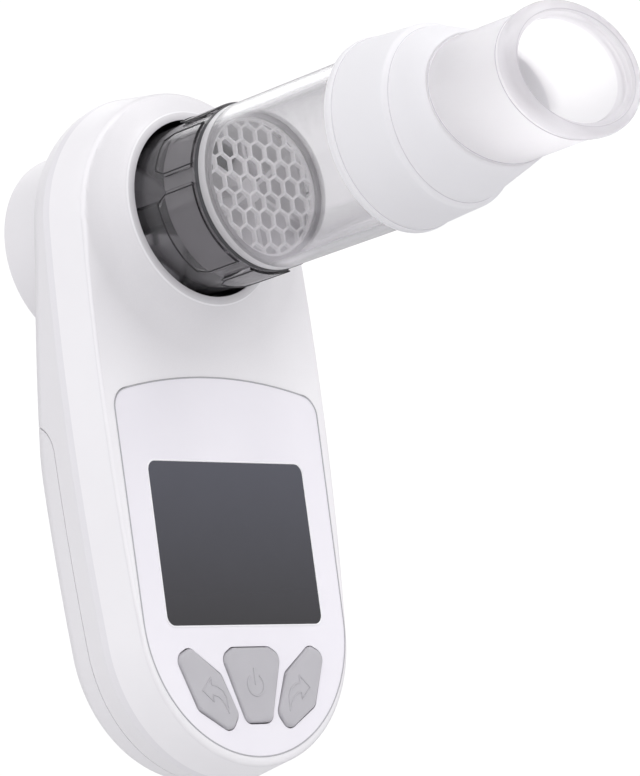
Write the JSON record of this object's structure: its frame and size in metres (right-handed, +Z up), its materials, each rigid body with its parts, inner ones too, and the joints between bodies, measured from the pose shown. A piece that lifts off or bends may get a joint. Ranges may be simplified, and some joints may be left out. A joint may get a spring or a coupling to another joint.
{
  "type": "peak flow meter",
  "caption": "Hand-held electronic peak flow meter with a clear turbine tube, an oval mouthpiece, a display and three keys.",
  "frame": {"origin": "centre of the outlet opening at the rim of the rear boss", "axes": "+Z up along the body towards the head, +Y along the breath from the mouthpiece out of the outlet, +X across the body"},
  "size_m": [0.0566, 0.1224, 0.1231],
  "materials": {
    "case_white": "satin",
    "panel_white": "satin",
    "button_grey": "satin",
    "display_dark": "gloss",
    "module_black": "gloss",
    "clear_plastic": "clear",
    "frosted_plastic": "frosted",
    "liner_black": "satin",
    "seal_grey": "satin",
    "board_green": "satin",
    "steel": "brushed",
    "brass": "satin",
    "battery_jacket": "gloss"
  },
  "bodies": {
    "case": {"front_shell": "case_white", "rear_shell": "case_white", "control_panel": "panel_white", "display_window": "display_dark", "display_module": "module_black", "main_board": "board_green", "tact_switches": "steel", "sounder": "module_black", "battery_left": "battery_jacket", "battery_right": "battery_jacket", "contact_plates": "brass", "contact_springs": "steel", "case_screws": "steel", "socket_liner": "liner_black", "sensor_board": "board_green", "light_detectors": "module_black", "light_emitter": "module_black"},
    "battery_door": {"battery_door": "case_white"},
    "power_button": {"power_button": "button_grey"},
    "back_button": {"back_button": "button_grey"},
    "forward_button": {"forward_button": "button_grey"},
    "turbine": {"turbine_housing": "clear_plastic", "joint_seal": "seal_grey", "inlet_tube": "clear_plastic", "honeycomb_screen": "frosted_plastic", "rear_swirl_ring": "clear_plastic", "front_swirl_ring": "clear_plastic", "rear_bearing": "brass", "front_bearing": "brass"},
    "rotor": {"rotor": "liner_black", "rotor_shaft": "steel"},
    "mouthpiece": {"mouthpiece": "frosted_plastic"}
  },
  "joints": [
    {"name": "turbine_pull", "type": "slide", "parent": "case", "child": "turbine", "axis": [0, -1, 0], "range_m": [0, 0.045]},
    {"name": "mouthpiece_pull", "type": "slide", "parent": "turbine", "child": "mouthpiece", "axis": [0, -1, 0], "range_m": [0, 0.03]},
    {"name": "rotor_spin", "type": "hinge", "parent": "turbine", "child": "rotor", "pos_m": [0, -0.027, 0], "axis": [0, 1, 0], "continuous": true},
    {"name": "battery_door_slide", "type": "slide", "parent": "case", "child": "battery_door", "axis": [0, 0, -1], "range_m": [0, 0.068]},
    {"name": "power_button_press", "type": "slide", "parent": "case", "child": "power_button", "axis": [0, 1, 0], "range_m": [0, 0.0006], "stiffness_N_per_m": 800},
    {"name": "back_button_press", "type": "slide", "parent": "case", "child": "back_button", "axis": [0, 1, 0], "range_m": [0, 0.0006], "stiffness_N_per_m": 800},
    {"name": "forward_button_press", "type": "slide", "parent": "case", "child": "forward_button", "axis": [0, 1, 0], "range_m": [0, 0.0006], "stiffness_N_per_m": 800}
  ]
}
